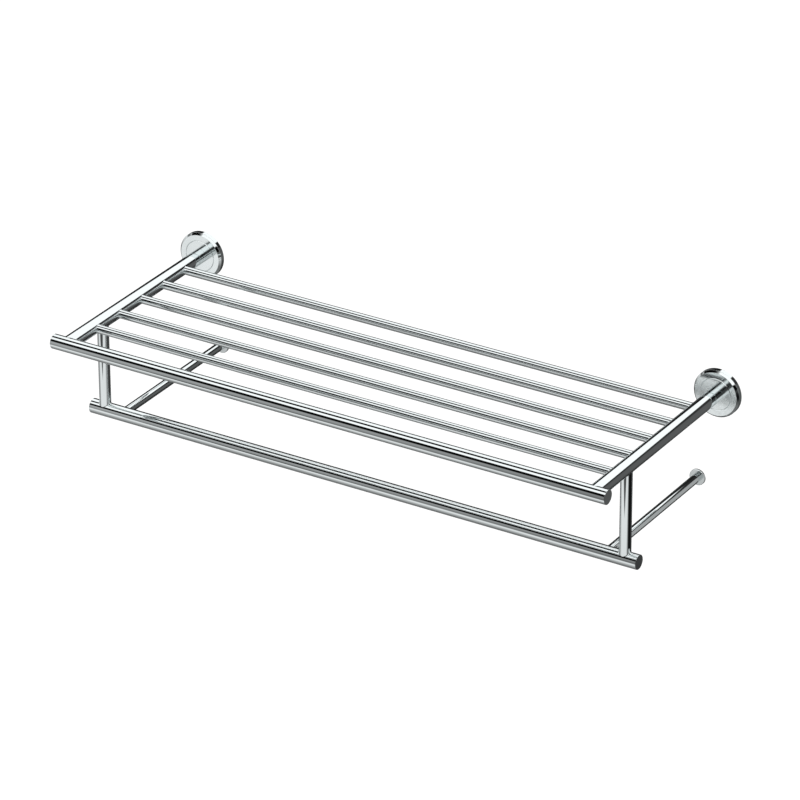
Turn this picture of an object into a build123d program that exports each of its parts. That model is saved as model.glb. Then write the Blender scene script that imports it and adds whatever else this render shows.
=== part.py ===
from build123d import *
import os

# Wall-mounted towel rack of chrome-plated tube: a shelf of five thin rods between two side arms, a front
# rail across the arms' ends, and a towel rail hung below on two posts and steadied by two wall stays.
#
# Millimetres. +X runs along the rails to the right, +Y points into the wall, +Z is up.
# The origin is on the wall plane, midway between the centres of the two wall flanges.

# ---- driving dimensions -------------------------------------------------------------------------------

rack_width = 660.0          # length of the front rail and of the towel rail, caps included
arm_spacing = 628.0         # between the axes of the two arms, and of the two flanges
shelf_depth = 256.0         # wall plane to the axis of the front rail
towel_rail_depth = 190.5    # wall plane to the axis of the towel rail
drop = 103.5                # arm axis down to the towel rail's axis
stay_spacing = 585.0        # between the axes of the two wall stays

rail_d = 16.0               # front rail, towel rail and both arms
rail_wall = 1.2
post_d = 12.5
post_wall = 1.0
rod_d = 9.5                 # shelf rods and wall stays
rod_wall = 0.9

rod_count = 5
rod_first = 44.5            # wall plane to the axis of the rod nearest the wall
rod_pitch = 41.0
rod_end_inset = 5.5         # arm axis to the rod's end, which lies inside the arm

joint_gap = 0.02            # brazing gap at a saddle joint, measured on the radius
hole_gap = 0.05             # extra radius of a hole over the piece in it
plug_gap = 0.01             # extra radius of a tube's bore over the plug pressed into it

cap_thickness = 1.2
cap_spigot_length = 6.0
cap_bevel = 0.3

flange_d = 52.5
flange_thickness = 7.3
flange_bevel = 2.25
flange_recess_d = 47.0
flange_recess_depth = 4.8
groove_d = 35.0
groove_width = 0.9
groove_depth = 0.4

plate_thickness = 4.0
plate_clearance = 0.2       # between the wall plate's edge and the flange's recess
plate_centre_hole_d = 16.0
wall_hole_d = 4.5
wall_hole_spacing = 28.0

screw_d = 6.0
screw_head_d = 10.5
screw_head_height = 2.0
screw_length = 14.0
screw_hex = 4.0
screw_hex_depth = 1.2
screw_hole_d = 6.4

arm_plug_length = 16.0

set_screw_d = 3.0
set_screw_length = 2.6
set_screw_point_d = 2.0
set_screw_point_length = 1.6
set_screw_hex = 1.5
set_screw_hex_depth = 1.2
set_screw_depth = 2.4       # wall plane to the set screw's axis
set_screw_inset = 0.2       # its outer end sits this far below the flange's rim

foot_d = 18.0
foot_thickness = 2.4
foot_bevel = 0.5
foot_spigot_length = 9.0
pad_d = 14.8
pad_thickness = 0.8
pad_proud = 0.2             # the pad stands this far out of the foot, so that it meets the wall first

# ---- worked out from the above ------------------------------------------------------------------------

rail_r = rail_d / 2
rail_bore_r = rail_r - rail_wall
saddle_r = rail_r + joint_gap
arm_x = arm_spacing / 2
stay_x = stay_spacing / 2
rod_y = [-(rod_first + i * rod_pitch) for i in range(rod_count)]
plate_d = flange_recess_d - 2 * plate_clearance
sides = {"left": -1, "right": 1}


# ---- helpers ------------------------------------------------------------------------------------------

def bar(start, end, diameter):
    """A solid round bar between two points."""
    line = Vector(*end) - Vector(*start)
    plane = Plane(origin=start, z_dir=line.normalized())
    return extrude(plane * Circle(diameter / 2), line.length)


def tube(start, end, diameter, wall):
    """A round tube between two points, open at both ends."""
    line = Vector(*end) - Vector(*start)
    plane = Plane(origin=start, z_dir=line.normalized())
    return extrude(plane * (Circle(diameter / 2) - Circle(diameter / 2 - wall)), line.length)


def turned(points, x, z):
    """A solid turned about a line along Y through (x, z), from its profile of (radius, y) points."""
    profile = make_face(Polyline(*points, close=True))
    return Pos(x, 0, z) * revolve(profile, Axis.Y)


def hex_socket(across_flats, depth):
    """The prism that a hexagon key's socket takes out, from the origin along +Z."""
    return extrude(RegularPolygon(across_flats / 2, 6, major_radius=False), depth)


# ---- the shelf ----------------------------------------------------------------------------------------

def rail(y, z):
    """A straight tube along X; its end caps make up the rest of the rack's width."""
    half = rack_width / 2 - cap_thickness
    return tube((-half, y, z), (half, y, z), rail_d, rail_wall)


def rail_cap(side, y, z):
    """A flat turned cap with a spigot that is pressed into the rail's end."""
    face_x = side * rack_width / 2
    seat_x = side * (rack_width / 2 - cap_thickness)
    tip_x = side * (rack_width / 2 - cap_thickness - cap_spigot_length)
    head = bar((seat_x, y, z), (face_x, y, z), rail_d)
    rim = head.edges().filter_by(GeomType.CIRCLE).sort_by(Axis.X)
    head = chamfer(rim[-1] if side > 0 else rim[0], cap_bevel)
    spigot = bar((tip_x, y, z), (seat_x, y, z), 2 * (rail_bore_r - plug_gap))
    return head + spigot


def arm(side):
    """A side arm: saddled onto the front rail, with a hole in its inner wall for each shelf rod."""
    x = side * arm_x
    body = tube((x, -shelf_depth, 0), (x, -flange_thickness, 0), rail_d, rail_wall)
    body -= bar((x - rail_d, -shelf_depth, 0), (x + rail_d, -shelf_depth, 0), 2 * saddle_r)
    for y in rod_y:
        body -= bar((x, y, 0), (x - side * rail_d, y, 0), rod_d + 2 * hole_gap)
    return body


def arm_plug(side):
    """The plug brazed into the arm's rear end, tapped for the flange's screw."""
    x = side * arm_x
    front = (x, -flange_thickness - arm_plug_length, 0)
    rear = (x, -flange_thickness, 0)
    body = bar(front, rear, 2 * (rail_bore_r - plug_gap))
    return body - bar(front, rear, screw_d + 2 * hole_gap)


def shelf_rod(y):
    """A thin tube whose ends sit in the two arms."""
    half = arm_x - rod_end_inset
    return tube((-half, y, 0), (half, y, 0), rod_d, rod_wall)


# ---- the towel rail's supports ------------------------------------------------------------------------

def post(side):
    """A post saddled onto the arm's underside and onto the towel rail's top."""
    x = side * arm_x
    y = -towel_rail_depth
    body = tube((x, y, -drop), (x, y, 0), post_d, post_wall)
    body -= bar((x, y - rail_d, 0), (x, y + rail_d, 0), 2 * saddle_r)
    return body - bar((x - rail_d, y, -drop), (x + rail_d, y, -drop), 2 * saddle_r)


def stay(side):
    """A thin tube saddled onto the back of the towel rail, which runs back to its foot on the wall."""
    x = side * stay_x
    body = tube((x, -towel_rail_depth, -drop), (x, -foot_thickness, -drop), rod_d, rod_wall)
    return body - bar((x - rail_d, -towel_rail_depth, -drop), (x + rail_d, -towel_rail_depth, -drop), 2 * saddle_r)


def stay_foot(side):
    """A turned disc with a spigot in the stay's end and a shallow recess for its pad."""
    spigot_r = rod_d / 2 - rod_wall - plug_gap
    back = -pad_proud
    points = [
        (0, -foot_thickness - foot_spigot_length),
        (spigot_r, -foot_thickness - foot_spigot_length),
        (spigot_r, -foot_thickness),
        (foot_d / 2 - foot_bevel, -foot_thickness),
        (foot_d / 2, -foot_thickness + foot_bevel),
        (foot_d / 2, back),
        (pad_d / 2 + hole_gap, back),
        (pad_d / 2 + hole_gap, -pad_thickness),
        (0, -pad_thickness),
    ]
    return turned(points, side * stay_x, -drop)


def foot_pad(side):
    """The soft pad between the foot and the wall."""
    x = side * stay_x
    return bar((x, -pad_thickness, -drop), (x, 0, -drop), pad_d)


# ---- the wall fixing ----------------------------------------------------------------------------------

def flange(side):
    """A bevelled cup with one concentric groove in its face, drilled for the arm and set screws."""
    rim_r = flange_d / 2
    face_y = -flange_thickness
    points = [
        (screw_hole_d / 2, face_y),
        (groove_d / 2 - groove_width / 2, face_y),
        (groove_d / 2, face_y + groove_depth),
        (groove_d / 2 + groove_width / 2, face_y),
        (rim_r - flange_bevel, face_y),
        (rim_r, face_y + flange_bevel),
        (rim_r, 0),
        (flange_recess_d / 2, 0),
        (flange_recess_d / 2, -flange_recess_depth),
        (screw_hole_d / 2, -flange_recess_depth),
    ]
    x = side * arm_x
    body = turned(points, x, 0)
    start = (x, -set_screw_depth, -flange_recess_d / 2 + 1)
    end = (x, -set_screw_depth, -flange_d / 2 - 1)
    return body - bar(start, end, set_screw_d + 2 * hole_gap)


def wall_plate(side):
    """The plate screwed to the wall, with a notch in its lower edge for the set screw's point."""
    x = side * arm_x
    body = bar((x, -plate_thickness, 0), (x, 0, 0), plate_d)
    body -= bar((x, -plate_thickness, 0), (x, 0, 0), plate_centre_hole_d)
    for z in (-wall_hole_spacing / 2, wall_hole_spacing / 2):
        body -= bar((x, -plate_thickness, z), (x, 0, z), wall_hole_d)
    notch_top = -plate_d / 2 + set_screw_point_length + hole_gap
    notch_d = set_screw_point_d + 2 * hole_gap
    return body - bar((x, -set_screw_depth, notch_top), (x, -set_screw_depth, -plate_d / 2 - 1), notch_d)


def flange_screw(side):
    """The low-head screw that pulls the flange onto the arm's end, put in from the flange's recess."""
    x = side * arm_x
    under_head = -flange_recess_depth
    top = under_head + screw_head_height
    head = bar((x, under_head, 0), (x, top, 0), screw_head_d)
    shank = bar((x, under_head - screw_length, 0), (x, under_head, 0), screw_d)
    socket = Plane(origin=(x, top, 0), z_dir=(0, -1, 0)) * hex_socket(screw_hex, screw_hex_depth)
    return head + shank - socket


def set_screw(side):
    """The headless screw in the flange's underside, whose point enters the wall plate's notch."""
    x = side * arm_x
    outer = -flange_d / 2 + set_screw_inset
    shoulder = outer + set_screw_length
    tip = -plate_d / 2 + set_screw_point_length
    body = bar((x, -set_screw_depth, outer), (x, -set_screw_depth, shoulder), set_screw_d)
    body += bar((x, -set_screw_depth, shoulder), (x, -set_screw_depth, tip), set_screw_point_d)
    socket = Plane(origin=(x, -set_screw_depth, outer), z_dir=(0, 0, 1))
    return body - socket * hex_socket(set_screw_hex, set_screw_hex_depth)


# ---- the nodes ----------------------------------------------------------------------------------------

nodes = {
    "front_rail": rail(-shelf_depth, 0),
    "towel_rail": rail(-towel_rail_depth, -drop),
    "flange_screws": Compound(children=[flange_screw(side) for side in sides.values()]),
    "set_screws": Compound(children=[set_screw(side) for side in sides.values()]),
}
for number, y in enumerate(rod_y, start=1):
    nodes[f"shelf_rod_{number}"] = shelf_rod(y)
for name, side in sides.items():
    nodes[f"front_rail_cap_{name}"] = rail_cap(side, -shelf_depth, 0)
    nodes[f"towel_rail_cap_{name}"] = rail_cap(side, -towel_rail_depth, -drop)
    nodes[f"arm_{name}"] = arm(side)
    nodes[f"arm_plug_{name}"] = arm_plug(side)
    nodes[f"post_{name}"] = post(side)
    nodes[f"stay_{name}"] = stay(side)
    nodes[f"stay_foot_{name}"] = stay_foot(side)
    nodes[f"foot_pad_{name}"] = foot_pad(side)
    nodes[f"flange_{name}"] = flange(side)
    nodes[f"wall_plate_{name}"] = wall_plate(side)

os.makedirs("parts", exist_ok=True)
for name, shape in nodes.items():
    export_step(shape, f"parts/{name}.step")
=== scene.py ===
import math

import bmesh
import bpy
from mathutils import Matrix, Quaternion, Vector


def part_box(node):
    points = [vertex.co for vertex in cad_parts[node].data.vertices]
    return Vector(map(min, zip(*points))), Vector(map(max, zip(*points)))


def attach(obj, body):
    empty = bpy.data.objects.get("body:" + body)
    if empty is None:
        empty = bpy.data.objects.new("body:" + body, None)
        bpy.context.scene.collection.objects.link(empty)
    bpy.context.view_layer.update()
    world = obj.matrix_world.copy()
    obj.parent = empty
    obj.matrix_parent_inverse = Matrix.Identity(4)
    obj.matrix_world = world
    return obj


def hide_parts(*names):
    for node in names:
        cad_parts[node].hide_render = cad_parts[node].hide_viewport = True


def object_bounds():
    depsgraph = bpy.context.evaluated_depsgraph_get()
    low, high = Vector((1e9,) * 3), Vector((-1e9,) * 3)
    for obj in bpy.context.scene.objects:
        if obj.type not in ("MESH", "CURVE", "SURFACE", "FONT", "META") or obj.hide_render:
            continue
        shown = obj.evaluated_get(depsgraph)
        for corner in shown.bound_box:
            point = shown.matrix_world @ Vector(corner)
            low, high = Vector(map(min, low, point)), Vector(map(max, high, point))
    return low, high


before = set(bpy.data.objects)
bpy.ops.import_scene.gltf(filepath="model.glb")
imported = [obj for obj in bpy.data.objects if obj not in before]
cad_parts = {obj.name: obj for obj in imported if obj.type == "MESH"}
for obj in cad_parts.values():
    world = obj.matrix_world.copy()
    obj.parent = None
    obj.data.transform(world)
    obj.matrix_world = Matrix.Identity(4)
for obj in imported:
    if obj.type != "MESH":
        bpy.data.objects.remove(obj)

# The looks of a chrome-plated wall towel rack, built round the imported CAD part.
# Metres. +X runs along the rails to the right, +Y points into the wall, +Z is up.

MM = 0.001
ROUND_SEGMENTS = 96
FLANGE_SEGMENTS = 160
SIDES = {"left": -1, "right": 1}
X_AXIS = Vector((1, 0, 0))
Y_AXIS = Vector((0, 1, 0))

cad_low, cad_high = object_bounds()


# ---- camera and stage ---------------------------------------------------------------------------------

CAMERA_AZIMUTH = math.radians(31.75)
CAMERA_ELEVATION = math.radians(27.12)
CAMERA_ROLL = math.radians(0.22)
CAMERA_DISTANCE = 5.2856
CAMERA_TARGET = Vector((0.0384, -0.1704, -0.0082))
CAMERA_LENS = 233.97
CAMERA_SENSOR_WIDTH = 36    # the lens and the sensor are in millimetres
CAMERA_CLIP_END = 100

FLOOR_DROP = 0.75           # below the rack's lowest point
FLOOR_SIZE = 60.0
FLOOR_TONE = 0.9
WORLD_STRENGTH = 1.2


def make_camera():
    """A long lens that looks down at the rack from the front right."""
    toward_camera = Vector((
        math.sin(CAMERA_AZIMUTH) * math.cos(CAMERA_ELEVATION),
        -math.cos(CAMERA_AZIMUTH) * math.cos(CAMERA_ELEVATION),
        math.sin(CAMERA_ELEVATION),
    ))
    camera = bpy.data.objects.new("camera", bpy.data.cameras.new("camera"))
    camera.data.lens = CAMERA_LENS
    camera.data.sensor_width = CAMERA_SENSOR_WIDTH
    camera.data.clip_end = CAMERA_CLIP_END
    camera.location = CAMERA_TARGET + toward_camera * CAMERA_DISTANCE
    camera.rotation_mode = "QUATERNION"
    level = (-toward_camera).to_track_quat("-Z", "Y")
    camera.rotation_quaternion = level @ Quaternion((0, 0, 1), -CAMERA_ROLL)
    bpy.context.scene.collection.objects.link(camera)
    bpy.context.scene.camera = camera


def make_world():
    """An even white surround, which lights the floor and the matt pieces."""
    world = bpy.data.worlds.new("studio")
    world.use_nodes = True
    background = world.node_tree.nodes["Background"]
    background.inputs["Color"].default_value = (1, 1, 1, 1)
    background.inputs["Strength"].default_value = WORLD_STRENGTH
    bpy.context.scene.world = world
    bpy.context.scene.view_settings.view_transform = "Standard"


def new_object(name, mesh):
    """A new object in the scene that shows the mesh."""
    piece = bpy.data.objects.new(name, mesh)
    bpy.context.scene.collection.objects.link(piece)
    return piece


def make_floor():
    """The plain pale floor, well below the rack."""
    half = FLOOR_SIZE / 2
    z = cad_low.z - FLOOR_DROP
    corners = [(-half, -half, z), (half, -half, z), (half, half, z), (-half, half, z)]
    mesh = bpy.data.meshes.new("floor")
    mesh.from_pydata(corners, [], [(0, 1, 2, 3)])
    material = bpy.data.materials.new("floor")
    material.use_nodes = True
    shader = material.node_tree.nodes["Principled BSDF"]
    shader.inputs["Base Color"].default_value = (FLOOR_TONE, FLOOR_TONE, FLOOR_TONE, 1)
    shader.inputs["Roughness"].default_value = 1.0
    shader.inputs["Specular IOR Level"].default_value = 0.0
    mesh.materials.append(material)
    floor = new_object("floor", mesh)
    floor.visible_glossy = False


# ---- the light tent that the chrome reflects ----------------------------------------------------------

TABLE_RADIUS = 0.57         # from the X axis to the table and the dim front above it
SOFTBOX_RADIUS = 0.70       # to the two softboxes
BACK_RADIUS = 0.85          # to what stands behind the rack
FRONT_STEP = (-6, 8)        # the angles over which the radius grows from the table's to the softboxes'
BACK_STEP = (105, 135)      # and on to the back's, over the top and under the rack alike
TENT_HALF_LENGTH = 1.6
TENT_LENGTH_STEPS = 200
TENT_ROUND_STEPS = 720
TENT_CHROME = 0.80          # the share of a light's strength that chrome gives back

# The tent's tones are given at three places along it, and fade evenly from one to the next.
TENT_PLACES = (-0.60, 0.0, 0.75)

# Going round the tent about X: 0 is the front, 90 overhead, 180 the wall, -90 below.
# Each band: where it starts and ends in degrees, and how bright it looks in the chrome at the three
# places, 0 to 255, set until the tubes reflected the studio as they do in the photo.
# The tent fades evenly from the end of one band to the start of the next.
TENT_BANDS = [
    (-180, -152, (60, 86, 86)),     # low behind the wall line
    (-147, -139, (60, 62, 84)),     # just below it
    (-134, -118, (60, 38, 52)),     # under the rack, at the back
    (-98, -64, (116, 110, 104)),    # the table under the rack
    (-46, -41, (170, 172, 165)),    # the table in front of it
    (-32.5, -22, (222, 220, 218)),  # the lit front edge of the table
    (-18, -10, (138, 118, 46)),     # the dim front
    (-3, 9.5, (164, 140, 60)),      # its paler upper part
    (15, 31.7, (6, 6, 6)),          # the black flag in front
    (36, 59, (253, 253, 253)),      # the front softbox
    (61.5, 86, (4, 4, 4)),          # the gap between the two softboxes
    (88, 144, (254, 254, 254)),     # the overhead softbox
    (145, 158, (20, 28, 48)),       # the dark edge behind the overhead softbox
    (164, 180, (40, 76, 84)),       # the back
]

# Painted shadows of the arms: the tent's lit table edge is painted darker in two wedges, one below each
# arm, which widen with the angle.
WEDGE_PLACES = (-0.312, 0.352)
WEDGE_HALF_WIDTH = 0.16
WEDGE_TIP = -23.8
WEDGE_OPEN = -20.5          # where a wedge has its full width
WEDGE_END = -15.5           # and where it stops
WEDGE_EDGE = (0.3, 1.6)     # its edge fades between these shares of its half-width
PAINTED_SHADOW_TONE = 70

# Under the rack the tent darkens toward its right end and pales toward its left one.
RIGHT_END = (0.72, 1.20)
RIGHT_END_TONE = 17
LEFT_END = (-0.62, -1.0)
LEFT_END_TONE = 138
UNDER_FRONT = (0, -25)      # the angles over which "under the rack" begins, from the front
UNDER_BACK = (-150, -125)   # and from the back


def linear(tone):
    """The light strength that shows as this 0 to 255 tone, also past white."""
    share = tone / 255
    if share <= 0.04045:
        return share / 12.92
    return ((share + 0.055) / 1.055) ** 2.4


def light_strength(tone):
    """How strong a light has to be for chrome to show it at this tone."""
    return linear(tone) / TENT_CHROME


def along_tent(tones, x):
    """The tone this far along the tent, between its tones at the three places."""
    left_place, middle_place, right_place = TENT_PLACES
    left_tone, middle_tone, right_tone = tones
    if x < middle_place:
        share = min(1.0, (middle_place - x) / (middle_place - left_place))
        return middle_tone + (left_tone - middle_tone) * share
    share = min(1.0, (x - middle_place) / (right_place - middle_place))
    return middle_tone + (right_tone - middle_tone) * share


def band_tone(angle, x):
    """How bright the tent looks at this angle and this far along."""
    before = TENT_BANDS[-1]
    for band in TENT_BANDS:
        start, end, tones = band
        if angle < start:
            share = (angle - before[1]) / (start - before[1])
            return along_tent(before[2], x) * (1 - share) + along_tent(tones, x) * share
        if angle <= end:
            return along_tent(tones, x)
        before = band
    return along_tent(before[2], x)


def fade(value, start, end):
    """0 at start, 1 at end, and smooth in between."""
    share = min(1.0, max(0.0, (value - start) / (end - start)))
    return share * share * (3 - 2 * share)


def tent_tone(angle, x):
    """The band's tone, with the dark right end, the pale left end and the arms' two painted shadows."""
    tone = band_tone(angle, x)
    under = fade(angle, *UNDER_FRONT) * fade(angle, *UNDER_BACK)
    tone += (RIGHT_END_TONE - tone) * fade(x, *RIGHT_END) * under
    tone += (LEFT_END_TONE - tone) * fade(x, *LEFT_END) * under
    # Paints the arms' two shadows into the table's lit edge as darker wedges.
    if WEDGE_TIP < angle < WEDGE_END:
        half_width = WEDGE_HALF_WIDTH * min(1.0, (angle - WEDGE_TIP) / (WEDGE_OPEN - WEDGE_TIP))
        aside = min(abs(x - place) for place in WEDGE_PLACES)
        inner, outer = WEDGE_EDGE
        shaded = 1 - fade(aside, half_width * inner, half_width * outer)
        tone += (min(tone, PAINTED_SHADOW_TONE) - tone) * shaded
    return tone


def tent_radius(angle):
    """How far the tent stands from the X axis at this angle."""
    front = TABLE_RADIUS + (SOFTBOX_RADIUS - TABLE_RADIUS) * fade(angle, *FRONT_STEP)
    return front + (BACK_RADIUS - front) * fade(abs(angle), *BACK_STEP)


def tent_material():
    """Light whose strength is the mesh's own "light" colour."""
    material = bpy.data.materials.new("tent_light")
    material.use_nodes = True
    nodes = material.node_tree.nodes
    nodes.clear()
    colour = nodes.new("ShaderNodeVertexColor")
    colour.layer_name = "light"
    emission = nodes.new("ShaderNodeEmission")
    output = nodes.new("ShaderNodeOutputMaterial")
    material.node_tree.links.new(colour.outputs["Color"], emission.inputs["Color"])
    material.node_tree.links.new(emission.outputs["Emission"], output.inputs["Surface"])
    return material


def tent_mesh():
    """The tent's round wall, closed by a flat face at each end, with its light in a colour attribute."""
    shape = bmesh.new()
    light = shape.verts.layers.float_color.new("light")
    rings = []
    for step in range(TENT_LENGTH_STEPS + 1):
        x = TENT_HALF_LENGTH * (2 * step / TENT_LENGTH_STEPS - 1)
        ring = []
        for index in range(TENT_ROUND_STEPS):
            angle = 360 * index / TENT_ROUND_STEPS - 180
            turn = math.radians(angle)
            radius = tent_radius(angle)
            corner = shape.verts.new((x, -radius * math.cos(turn), radius * math.sin(turn)))
            strength = light_strength(tent_tone(angle, x))
            corner[light] = (strength, strength, strength, 1)
            ring.append(corner)
        rings.append(ring)
    for near, far in zip(rings, rings[1:]):
        for index in range(TENT_ROUND_STEPS):
            following = (index + 1) % TENT_ROUND_STEPS
            shape.faces.new((near[index], near[following], far[following], far[index]))
    for ring in (rings[0], rings[-1]):
        shape.faces.new(ring)
    mesh = bpy.data.meshes.new("light_tent")
    shape.to_mesh(mesh)
    shape.free()
    return mesh


def show_in_reflections_only(light):
    """Keeps a light panel out of the picture itself, and off the floor."""
    light.visible_camera = False
    light.visible_diffuse = False
    light.visible_shadow = False
    light.visible_transmission = False


def make_tent():
    """The softboxes, flags and table round the rack, seen only in its reflections."""
    mesh = tent_mesh()
    mesh.materials.append(tent_material())
    show_in_reflections_only(new_object("light_tent", mesh))


REFLECTOR_TONE = 158
REFLECTOR_GAP = 0.027       # from the right stay's axis to the reflector
REFLECTOR_BELOW = 0.025
REFLECTOR_ABOVE = 0.022
REFLECTOR_FRONT = 0.042     # how far behind the towel rail it starts
REFLECTOR_BACK = 0.026      # how far it reaches past the wall plane


def make_reflector():
    """A small pale card beside the right stay, which lightens the stay's lower side."""
    x = middle("stay_right").x + REFLECTOR_GAP
    z = towel_axis.z
    front = towel_axis.y + REFLECTOR_FRONT
    low = z - REFLECTOR_BELOW
    high = z + REFLECTOR_ABOVE
    back = REFLECTOR_BACK
    corners = [(x, front, low), (x, back, low), (x, back, high), (x, front, high)]
    mesh = bpy.data.meshes.new("reflector")
    mesh.from_pydata(corners, [], [(0, 1, 2, 3)])
    material = bpy.data.materials.new("reflector_light")
    material.use_nodes = True
    nodes = material.node_tree.nodes
    nodes.clear()
    emission = nodes.new("ShaderNodeEmission")
    emission.inputs["Strength"].default_value = light_strength(REFLECTOR_TONE)
    output = nodes.new("ShaderNodeOutputMaterial")
    material.node_tree.links.new(emission.outputs["Emission"], output.inputs["Surface"])
    mesh.materials.append(material)
    show_in_reflections_only(new_object("reflector", mesh))


# ---- materials ----------------------------------------------------------------------------------------

NOISE_LOW = 0.3             # nearly all of the noise lies between these two values
NOISE_HIGH = 0.7


class Look:
    """A Principled material, with helpers for the procedural textures that drive it."""

    def __init__(self, name):
        self.material = bpy.data.materials.new(name)
        self.material.use_nodes = True
        self.nodes = self.material.node_tree.nodes
        self.links = self.material.node_tree.links
        self.shader = self.nodes["Principled BSDF"]
        self.place = self.nodes.new("ShaderNodeTexCoord").outputs["Object"]

    def set(self, socket, value):
        """Gives the shader a value that is the same all over."""
        self.shader.inputs[socket].default_value = value

    def noise(self, scale, detail, stretch=(1, 1, 1)):
        """Cloudy noise in the piece's own metres, stretched along the axes where asked."""
        mapping = self.nodes.new("ShaderNodeMapping")
        mapping.inputs["Scale"].default_value = stretch
        texture = self.nodes.new("ShaderNodeTexNoise")
        texture.inputs["Scale"].default_value = scale
        texture.inputs["Detail"].default_value = detail
        self.links.new(self.place, mapping.inputs["Vector"])
        self.links.new(mapping.outputs["Vector"], texture.inputs["Vector"])
        return texture.outputs["Fac"]

    def spread(self, source, low, high):
        """The noise spread between two values."""
        remap = self.nodes.new("ShaderNodeMapRange")
        remap.inputs["From Min"].default_value = NOISE_LOW
        remap.inputs["From Max"].default_value = NOISE_HIGH
        remap.inputs["To Min"].default_value = low
        remap.inputs["To Max"].default_value = high
        self.links.new(source, remap.inputs["Value"])
        return remap.outputs["Result"]

    def colour(self, source, dark, pale):
        """The base colour, mixed from two by the noise."""
        ramp = self.nodes.new("ShaderNodeValToRGB")
        ramp.color_ramp.elements[0].position = NOISE_LOW
        ramp.color_ramp.elements[0].color = (*dark, 1)
        ramp.color_ramp.elements[1].position = NOISE_HIGH
        ramp.color_ramp.elements[1].color = (*pale, 1)
        self.links.new(source, ramp.inputs["Fac"])
        self.links.new(ramp.outputs["Color"], self.shader.inputs["Base Color"])

    def roughness(self, source, low, high):
        """The roughness, spread between two values by the noise."""
        self.links.new(self.spread(source, low, high), self.shader.inputs["Roughness"])

    def bump(self, source, height, strength):
        """A bump of this height in metres."""
        bump = self.nodes.new("ShaderNodeBump")
        bump.inputs["Distance"].default_value = height
        bump.inputs["Strength"].default_value = strength
        self.links.new(source, bump.inputs["Height"])
        self.links.new(bump.outputs["Normal"], self.shader.inputs["Normal"])


def chrome():
    """Polished plating: bright and faintly cool, with a trace of unevenness in its polish."""
    look = Look("polished_chrome")
    look.set("Metallic", 1.0)
    look.colour(look.noise(18, 2), (0.755, 0.800, 0.805), (0.785, 0.830, 0.835))
    look.roughness(look.noise(60, 4), 0.015, 0.035)
    return look.material


def satin_chrome():
    """The faces of the flanges and feet: turned before plating, so the polish is softer."""
    look = Look("turned_chrome")
    look.set("Metallic", 1.0)
    look.colour(look.noise(25, 2), (0.815, 0.865, 0.870), (0.845, 0.895, 0.900))
    look.roughness(look.noise(120, 4), 0.10, 0.16)
    return look.material


def zinc_steel():
    """Zinc-plated steel: duller, with the streaks of its rolling and a spangled tone."""
    look = Look("zinc_plated_steel")
    look.set("Metallic", 1.0)
    look.colour(look.noise(300, 3), (0.50, 0.52, 0.54), (0.66, 0.67, 0.68))
    look.roughness(look.noise(900, 4, (1, 0.15, 0.15)), 0.28, 0.42)
    look.bump(look.noise(1600, 3, (1, 0.1, 0.1)), 0.02 * MM, 0.4)
    return look.material


def soft_pad():
    """The clear-grey soft plastic of the pads behind the feet, with a fine grain."""
    look = Look("soft_pad")
    look.colour(look.noise(500, 3), (0.33, 0.34, 0.35), (0.42, 0.43, 0.44))
    look.roughness(look.noise(700, 3), 0.50, 0.65)
    look.bump(look.noise(2500, 3), 0.02 * MM, 0.5)
    return look.material


# ---- mesh helpers -------------------------------------------------------------------------------------

FLAT_MARGIN = 0.08 * MM     # a flat face keeps its true shading up to this close to a rounded edge
FILLET_MARGIN = 4 * FLAT_MARGIN
ROUNDING_STEPS = 6
FILLET_STEPS = 8
SHARP_ANGLE = math.radians(30)
MERGE_DISTANCE = 0.0001 * MM
FAR_INSIDE = 1.0            # a helper point along a tube, which is dropped again
WALL_MARGIN = 0.03 * MM     # how far a face of a tube's outer wall may be off its radius
WALL_TILT = 0.02            # and how much it may lean along the tube


def shade_with_hard_edges(mesh):
    """Smooth shading, except across the mesh's sharp edges."""
    mesh.shade_smooth()
    mesh.set_sharp_from_angle(angle=SHARP_ANGLE)


def finished(name, shape, material):
    """The bmesh as a smooth-shaded object with true hard edges."""
    bmesh.ops.remove_doubles(shape, verts=shape.verts, dist=MERGE_DISTANCE)
    bmesh.ops.recalc_face_normals(shape, faces=shape.faces)
    mesh = bpy.data.meshes.new(name)
    shape.to_mesh(mesh)
    shape.free()
    shade_with_hard_edges(mesh)
    mesh.materials.append(material)
    return new_object(name, mesh)


def across(axis):
    """Two unit directions square to the axis and to each other."""
    first = X_AXIS if abs(axis.x) < 0.5 else Y_AXIS
    return first, axis.cross(first)


def turned(name, origin, axis, outline, material, segments=ROUND_SEGMENTS):
    """A closed solid round a line. outline(direction) lists the section's (radius, along) points there.

    A section that starts at radius 0 is a solid one and ends there too; any other is a closed loop."""
    first, second = across(axis)
    shape = bmesh.new()
    sections = []
    for index in range(segments):
        turn = 2 * math.pi * index / segments
        direction = first * math.cos(turn) + second * math.sin(turn)
        points = outline(direction)
        solid = points[0][0] == 0
        sections.append([shape.verts.new(origin + direction * r + axis * along) for r, along in points])
    for near, far in zip(sections, sections[1:] + sections[:1]):
        count = len(near) - 1 if solid else len(near)
        for index in range(count):
            following = (index + 1) % len(near)
            corners = (near[index], near[following], far[following], far[index])
            shape.faces.new(corners)
    return finished(name, shape, material)


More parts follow.
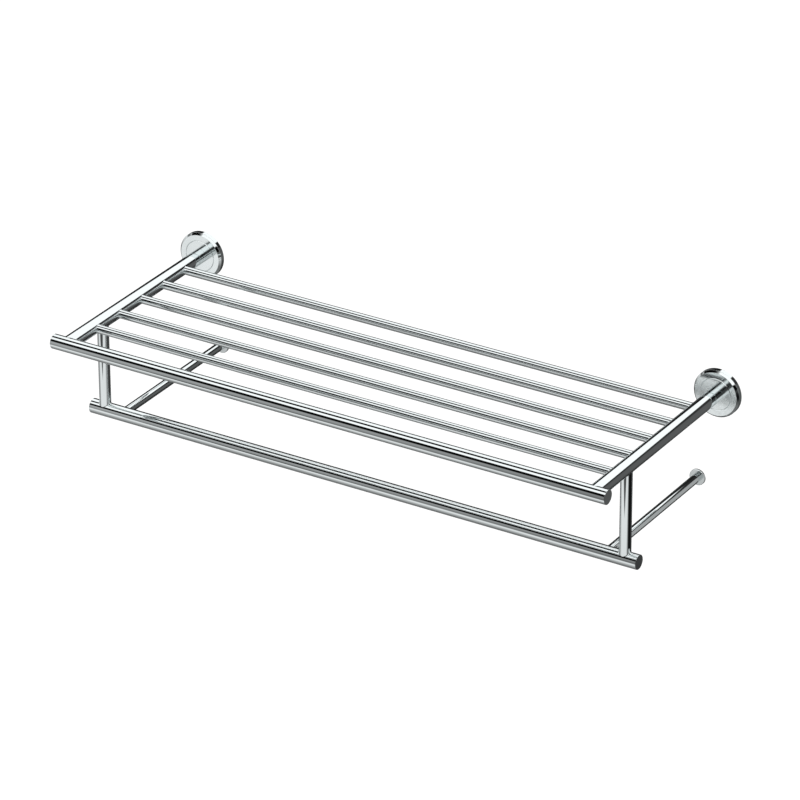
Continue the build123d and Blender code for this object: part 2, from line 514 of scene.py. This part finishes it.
def rounded(corners):
    """An outline's (radius, along, rounding) corners as points, each rounding as a true arc."""
    points = []
    for index, (r, along, rounding) in enumerate(corners):
        here = Vector((r, along))
        if rounding == 0:
            points.append((r, along))
            continue
        back = (Vector(corners[index - 1][:2]) - here).normalized()
        ahead = (Vector(corners[(index + 1) % len(corners)][:2]) - here).normalized()
        half_angle = back.angle(ahead) / 2
        reach = rounding / math.tan(half_angle)
        centre = here + (back + ahead).normalized() * (rounding / math.sin(half_angle))
        start = here + back * reach
        end = here + ahead * reach
        points.append(tuple(start + back * FLAT_MARGIN))
        for step in range(ROUNDING_STEPS + 1):
            arm = (start - centre).slerp(end - centre, step / ROUNDING_STEPS)
            points.append(tuple(centre + arm.normalized() * rounding))
        points.append(tuple(end + ahead * FLAT_MARGIN))
    return points


def plain_end(outer, inner, rounding):
    """A square-cut tube end.

    It gives points of (radius, distance into the tube), from the bore to the outer wall."""
    def end(direction):
        loop = [
            (inner, FAR_INSIDE, 0),
            (inner, 0, 0),
            (outer, 0, rounding),
            (outer, FAR_INSIDE, 0),
        ]
        return rounded(loop)[1:-1]
    return end


def saddle_end(outer, inner, other_axis, other_radius, fillet):
    """A tube end cut to sit on another tube, with the brazed joint's fillet.

    It gives the same kind of points as plain_end. The fillet fades out at the joint's sides."""
    def end(direction):
        sideways = math.sqrt(max(0.0, 1 - direction.dot(other_axis) ** 2))
        blend = fillet * (1 - sideways ** 2)

        def height(radius):
            return math.sqrt(other_radius ** 2 - (radius * sideways) ** 2)

        points = [(inner, height(inner))]
        for step in range(FILLET_STEPS + 1):
            turn = math.pi / 2 * (1 - step / FILLET_STEPS)
            radius = outer + blend * (1 - math.cos(turn))
            points.append((radius, height(radius) + blend * (1 - math.sin(turn))))
        points.append((outer, points[-1][1] + FILLET_MARGIN))
        return points
    return end


def tube(name, start, finish, near_end, far_end):
    """A tube between two points. Its ends come from plain_end or saddle_end."""
    axis = (finish - start).normalized()
    length = (finish - start).length

    def outline(direction):
        far = [(radius, length - inset) for radius, inset in far_end(direction)]
        return near_end(direction) + far[::-1]

    return turned(name, start, axis, outline, CHROME)


def drilled(piece, drill_start, drill_end, radius):
    """Takes a round hole out of the piece between two points."""
    axis = (drill_end - drill_start).normalized()
    length = (drill_end - drill_start).length
    points = [(0, 0), (radius, 0), (radius, length), (0, length)]
    drill = turned("drill", drill_start, axis, lambda direction: points, CHROME)
    cut = piece.modifiers.new("hole", "BOOLEAN")
    cut.operation = "DIFFERENCE"
    cut.solver = "EXACT"
    cut.object = drill
    bpy.context.view_layer.update()
    evaluated = piece.evaluated_get(bpy.context.evaluated_depsgraph_get())
    mesh = bpy.data.meshes.new_from_object(evaluated)
    piece.modifiers.clear()
    mesh.name = piece.name
    piece.data = mesh
    bpy.data.objects.remove(drill)
    shade_with_hard_edges(mesh)


def true_round(piece, centre, axis, radius):
    """Gives the piece's outer wall the exact shading of a round bar, whatever its faces are."""
    mesh = piece.data
    normals = [corner.vector.copy() for corner in mesh.corner_normals]
    for face in mesh.polygons:
        offset = face.center - centre
        radial = offset - axis * offset.dot(axis)
        at_radius = abs(radial.length - radius) < WALL_MARGIN
        level = abs(face.normal.dot(axis)) < WALL_TILT
        if not (at_radius and level) or face.normal.dot(radial) < 0:
            continue
        for loop in face.loop_indices:
            corner = mesh.vertices[mesh.loops[loop].vertex_index].co - centre
            normals[loop] = (corner - axis * corner.dot(axis)).normalized()
    mesh.normals_split_custom_set(normals)


def stands_for(piece, node):
    """The piece takes the CAD node's place, on the one body."""
    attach(piece, "root")
    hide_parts(node)


def middle(node):
    """The middle of a CAD node's box."""
    low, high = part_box(node)
    return (low + high) / 2


def size(node):
    """The width, depth and height of a CAD node's box."""
    low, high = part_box(node)
    return high - low


# ---- sizes that a node's box doesn't give -------------------------------------------------------------

RAIL_WALL = 1.2 * MM
POST_WALL = 1.0 * MM
ROD_WALL = 0.9 * MM
JOINT_GAP = 0.02 * MM       # as in the CAD part, so that brazed pieces stay separate
HOLE_GAP = 0.05 * MM
SPIGOT_LENGTH = 6.0 * MM
SPIGOT_GAP = 0.01 * MM
EDGE = 0.12 * MM            # the tiny rounding of a polished edge
CAP_EDGE = 0.35 * MM
POST_FILLET = 1.3 * MM
ARM_FILLET = 0.8 * MM
STAY_FILLET = 1.0 * MM

FLANGE_BEVEL = 2.25 * MM
FLANGE_EDGE = 0.25 * MM
FLANGE_RECESS_RADIUS = 23.5 * MM
FLANGE_RECESS_DEPTH = 4.8 * MM
FLANGE_SCREW_HOLE_RADIUS = 3.2 * MM
FLANGE_FACE_DEPTH = 0.5 * MM    # what counts as the flange's face, its groove included
GROOVE_RADIUS = 17.5 * MM
GROOVE_HALF_WIDTH = 0.45 * MM
GROOVE_DEPTH = 0.4 * MM
GROOVE_EDGE = 0.1 * MM
SET_SCREW_HOLE_RADIUS = 1.55 * MM
SET_SCREW_DEPTH = 2.4 * MM  # from the wall plane to the set screw's axis
DRILL_OVERSHOOT = 1.0 * MM

FOOT_BEVEL = 0.5 * MM
FOOT_FACE_DEPTH = 0.05 * MM     # what counts as the foot's face
FOOT_SPIGOT_LENGTH = 9.0 * MM
FOOT_RECESS_RADIUS = 7.45 * MM
FOOT_RECESS_DEPTH = 0.6 * MM

front_axis = middle("front_rail")
towel_axis = middle("towel_rail")
rail_radius = size("front_rail").z / 2
post_radius = size("post_left").x / 2
rod_radius = size("shelf_rod_1").z / 2
saddle_radius = rail_radius + JOINT_GAP


# ---- the rails, rods, arms, posts and stays -----------------------------------------------------------

def make_straight_tube(node, radius, wall):
    """A rail without its caps, or a shelf rod: a tube along X, square at both ends."""
    low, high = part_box(node)
    centre = middle(node)
    start = Vector((low.x, centre.y, centre.z))
    finish = Vector((high.x, centre.y, centre.z))
    end = plain_end(radius, radius - wall, EDGE)
    stands_for(tube(node + "_tube", start, finish, end, end), node)


def make_rail_cap(node, side):
    """The turned cap in a rail's end, with its softened rim."""
    low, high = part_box(node)
    centre = middle(node)
    face_x = high.x if side > 0 else low.x
    length = high.x - low.x
    thickness = length - SPIGOT_LENGTH
    spigot_radius = rail_radius - RAIL_WALL - SPIGOT_GAP
    corners = [
        (0, 0, 0),
        (rail_radius, 0, CAP_EDGE),
        (rail_radius, thickness, EDGE),
        (spigot_radius, thickness, 0),
        (spigot_radius, length, 0),
        (0, length, 0),
    ]
    origin = Vector((face_x, centre.y, centre.z))
    points = rounded(corners)
    cap = turned(node + "_turned", origin, X_AXIS * -side, lambda direction: points, CHROME)
    stands_for(cap, node)


def make_arm(node, side):
    """A side arm: saddled on the front rail, square at the flange, and drilled for the rods."""
    centre = middle(node)
    inner = rail_radius - RAIL_WALL
    front = Vector((centre.x, front_axis.y, centre.z))
    back = Vector((centre.x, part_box(node)[1].y, centre.z))
    saddle = saddle_end(rail_radius, inner, X_AXIS, saddle_radius, ARM_FILLET)
    arm = tube(node + "_tube", front, back, saddle, plain_end(rail_radius, inner, EDGE))
    for rod in rods:
        y = middle(rod).y
        hole_start = Vector((centre.x - side * 2 * rail_radius, y, centre.z))
        drilled(arm, hole_start, Vector((centre.x, y, centre.z)), rod_radius + HOLE_GAP)
    true_round(arm, centre, Y_AXIS, rail_radius)
    stands_for(arm, node)


def make_post(node):
    """A post between the towel rail's top and the arm's underside."""
    x = middle(node).x
    inner = post_radius - POST_WALL
    foot = saddle_end(post_radius, inner, X_AXIS, saddle_radius, POST_FILLET)
    top = saddle_end(post_radius, inner, Y_AXIS, saddle_radius, POST_FILLET)
    start = Vector((x, towel_axis.y, towel_axis.z))
    finish = Vector((x, towel_axis.y, front_axis.z))
    stands_for(tube(node + "_tube", start, finish, foot, top), node)


def make_stay(node):
    """A thin stay from the towel rail's back to its foot on the wall."""
    x = middle(node).x
    inner = rod_radius - ROD_WALL
    saddle = saddle_end(rod_radius, inner, X_AXIS, saddle_radius, STAY_FILLET)
    start = Vector((x, towel_axis.y, towel_axis.z))
    finish = Vector((x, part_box(node)[1].y, towel_axis.z))
    stay = tube(node + "_tube", start, finish, saddle, plain_end(rod_radius, inner, EDGE))
    stands_for(stay, node)


# ---- the turned pieces on the wall --------------------------------------------------------------------

def satin_face(piece, depth_y, centre, radius):
    """Gives the satin polish to the faces in front of this depth and within this radius."""
    piece.data.materials.append(SATIN_CHROME)
    for polygon in piece.data.polygons:
        off_axis = math.hypot(polygon.center.x - centre.x, polygon.center.z - centre.z)
        if polygon.center.y < depth_y and off_axis < radius:
            polygon.material_index = 1


def make_foot(node):
    """A stay's turned foot, with its spigot and the recess for its pad."""
    low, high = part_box(node)
    centre = middle(node)
    radius = (high.x - low.x) / 2
    front = high.y - low.y - FOOT_SPIGOT_LENGTH
    spigot_radius = rod_radius - ROD_WALL - SPIGOT_GAP
    corners = [
        (0, FOOT_RECESS_DEPTH, 0),
        (FOOT_RECESS_RADIUS, FOOT_RECESS_DEPTH, 0),
        (FOOT_RECESS_RADIUS, 0, EDGE),
        (radius, 0, EDGE),
        (radius, front - FOOT_BEVEL, EDGE),
        (radius - FOOT_BEVEL, front, EDGE),
        (spigot_radius, front, 0),
        (spigot_radius, front + FOOT_SPIGOT_LENGTH, 0),
        (0, front + FOOT_SPIGOT_LENGTH, 0),
    ]
    origin = Vector((centre.x, high.y, centre.z))
    points = rounded(corners)
    foot = turned(node + "_turned", origin, -Y_AXIS, lambda direction: points, CHROME)
    face_y = high.y - front
    satin_face(foot, face_y + FOOT_FACE_DEPTH, centre, radius - FOOT_BEVEL - EDGE)
    stands_for(foot, node)


def make_flange(node):
    """A wall flange: a bevelled cup with one fine groove in its face."""
    low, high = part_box(node)
    centre = middle(node)
    radius = (high.x - low.x) / 2
    face = high.y - low.y
    corners = [
        (FLANGE_SCREW_HOLE_RADIUS, FLANGE_RECESS_DEPTH, 0),
        (FLANGE_RECESS_RADIUS, FLANGE_RECESS_DEPTH, 0),
        (FLANGE_RECESS_RADIUS, 0, EDGE),
        (radius, 0, EDGE),
        (radius, face - FLANGE_BEVEL, FLANGE_EDGE),
        (radius - FLANGE_BEVEL, face, FLANGE_EDGE),
        (GROOVE_RADIUS + GROOVE_HALF_WIDTH, face, GROOVE_EDGE),
        (GROOVE_RADIUS, face - GROOVE_DEPTH, GROOVE_EDGE),
        (GROOVE_RADIUS - GROOVE_HALF_WIDTH, face, GROOVE_EDGE),
        (FLANGE_SCREW_HOLE_RADIUS, face, 0),
    ]
    origin = Vector((centre.x, high.y, centre.z))
    points = rounded(corners)
    flange = turned(
        node + "_turned", origin, -Y_AXIS, lambda direction: points, CHROME, FLANGE_SEGMENTS
    )
    screw_y = high.y - SET_SCREW_DEPTH
    hole_start = Vector((centre.x, screw_y, centre.z - FLANGE_RECESS_RADIUS + DRILL_OVERSHOOT))
    hole_end = Vector((centre.x, screw_y, low.z - DRILL_OVERSHOOT))
    drilled(flange, hole_start, hole_end, SET_SCREW_HOLE_RADIUS)
    satin_face(flange, low.y + FLANGE_FACE_DEPTH, centre, radius - FLANGE_BEVEL - FLANGE_EDGE)
    stands_for(flange, node)


def paint_kept_nodes():
    """The CAD nodes that are shown as they are: the hidden steel parts and the pads."""
    steel = zinc_steel()
    pad = soft_pad()
    kept = {"flange_screws": steel, "set_screws": steel}
    for side in SIDES:
        kept["wall_plate_" + side] = steel
        kept["arm_plug_" + side] = steel
        kept["foot_pad_" + side] = pad
    for node, material in kept.items():
        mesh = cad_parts[node].data
        mesh.materials.clear()
        mesh.materials.append(material)


# ---- the scene ----------------------------------------------------------------------------------------

make_camera()
make_world()
make_floor()
make_tent()
make_reflector()

CHROME = chrome()
SATIN_CHROME = satin_chrome()
rods = sorted(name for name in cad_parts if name.startswith("shelf_rod_"))

for rod_node in rods:
    make_straight_tube(rod_node, rod_radius, ROD_WALL)
for rail_node in ("front_rail", "towel_rail"):
    make_straight_tube(rail_node, rail_radius, RAIL_WALL)
    for side_name, side_sign in SIDES.items():
        make_rail_cap(rail_node + "_cap_" + side_name, side_sign)
for side_name, side_sign in SIDES.items():
    make_arm("arm_" + side_name, side_sign)
    make_post("post_" + side_name)
    make_stay("stay_" + side_name)
    make_foot("stay_foot_" + side_name)
    make_flange("flange_" + side_name)
paint_kept_nodes()
